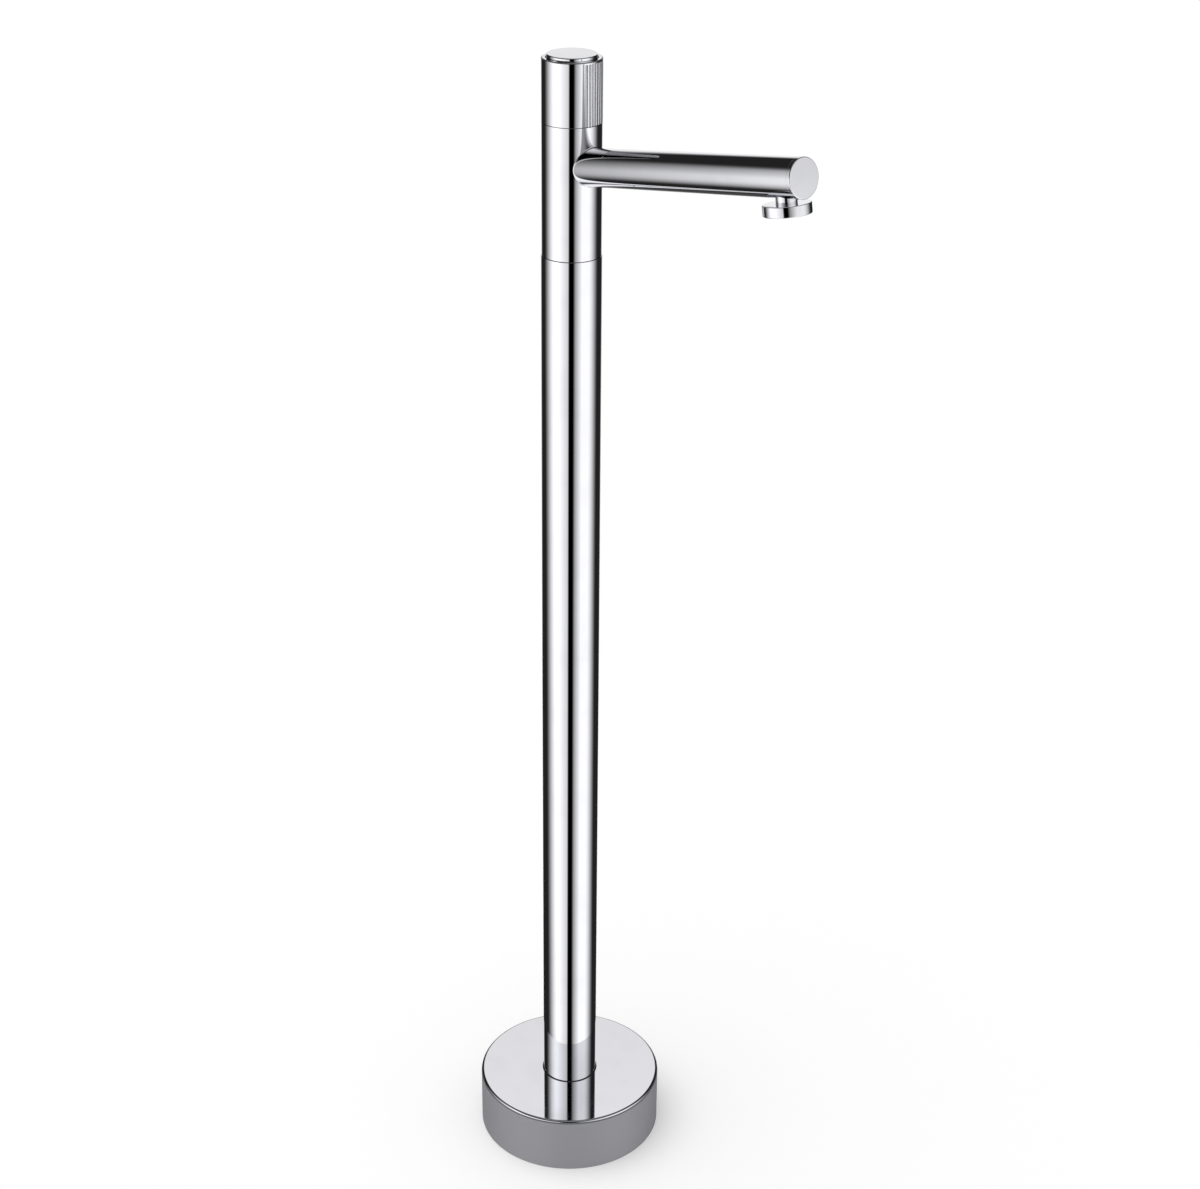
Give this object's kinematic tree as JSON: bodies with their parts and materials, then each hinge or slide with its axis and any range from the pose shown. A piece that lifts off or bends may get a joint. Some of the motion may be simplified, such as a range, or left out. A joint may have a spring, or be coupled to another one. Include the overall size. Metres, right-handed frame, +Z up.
{
  "type": "floor standing bath filler",
  "caption": "Round floor standing bath filler: slim column on a round base, swivelling spout tilted slightly up, mixing knob with a push button on top.",
  "frame": {"origin": "centre of the floor flange on the floor, where the column's axis meets it", "axes": "+Z up along the column, +X along the spout at rest"},
  "size_m": [0.2859, 0.143, 0.8671],
  "materials": {
    "chrome": "mirror-polished chrome plate",
    "brass": "turned, unplated",
    "cast_flange": "cast and painted matt black",
    "steel": "bright stainless",
    "braided_hose": "stainless braid over a rubber hose",
    "dark_rubber": "smooth black rubber",
    "slip_plastic": "moulded acetal",
    "insert_plastic": "moulded off-white acetal",
    "ceramic": "lapped alumina ceramic"
  },
  "bodies": {
    "column": {"base_cover": "chrome", "foot_ring": "dark_rubber", "floor_flange": "cast_flange", "flange_grub_screws": "steel", "inlet_plate": "steel", "inlet_plate_screws": "steel", "hot_inlet_union": "brass", "cold_inlet_union": "brass", "hot_supply_hose": "braided_hose", "cold_supply_hose": "braided_hose", "hose_ferrules": "steel", "hose_studs": "brass", "column_pipe": "chrome", "valve_core": "brass", "core_seal": "dark_rubber", "swivel_seals": "dark_rubber", "swivel_stop_pin": "steel", "lower_slip_ring": "slip_plastic", "upper_slip_ring": "slip_plastic", "cartridge_base_seal": "dark_rubber", "cartridge_housing": "slip_plastic", "fixed_disc": "ceramic", "spindle_seal": "dark_rubber", "cartridge_nut": "brass"},
    "spout": {"spout_body": "chrome", "spout_end_cap": "chrome", "outlet_neck": "chrome", "outlet_housing": "chrome", "outlet_seal": "dark_rubber", "flow_straightener": "insert_plastic"},
    "knob": {"knob": "chrome", "knob_adapter": "insert_plastic", "knob_grub_screw": "steel", "spindle": "brass", "moving_disc": "ceramic"},
    "button": {"button_cap": "chrome", "push_rod": "steel", "shutoff_poppet": "dark_rubber", "button_spring": "steel"}
  },
  "joints": [
    {"name": "spout_swivel", "type": "hinge", "parent": "column", "child": "spout", "pos_m": [0, 0, 0.7765], "axis": [0, 0, 1], "range_deg": [-90, 90]},
    {"name": "knob_turn", "type": "hinge", "parent": "column", "child": "knob", "pos_m": [0, 0, 0.84], "axis": [0, 0, 1], "range_deg": [-45, 45]},
    {"name": "button_press", "type": "slide", "parent": "knob", "child": "button", "axis": [0, 0, -1], "range_m": [0, 0.002], "stiffness_N_per_m": 1200, "springref_m": -0.002, "deforming": ["button_spring"]}
  ]
}
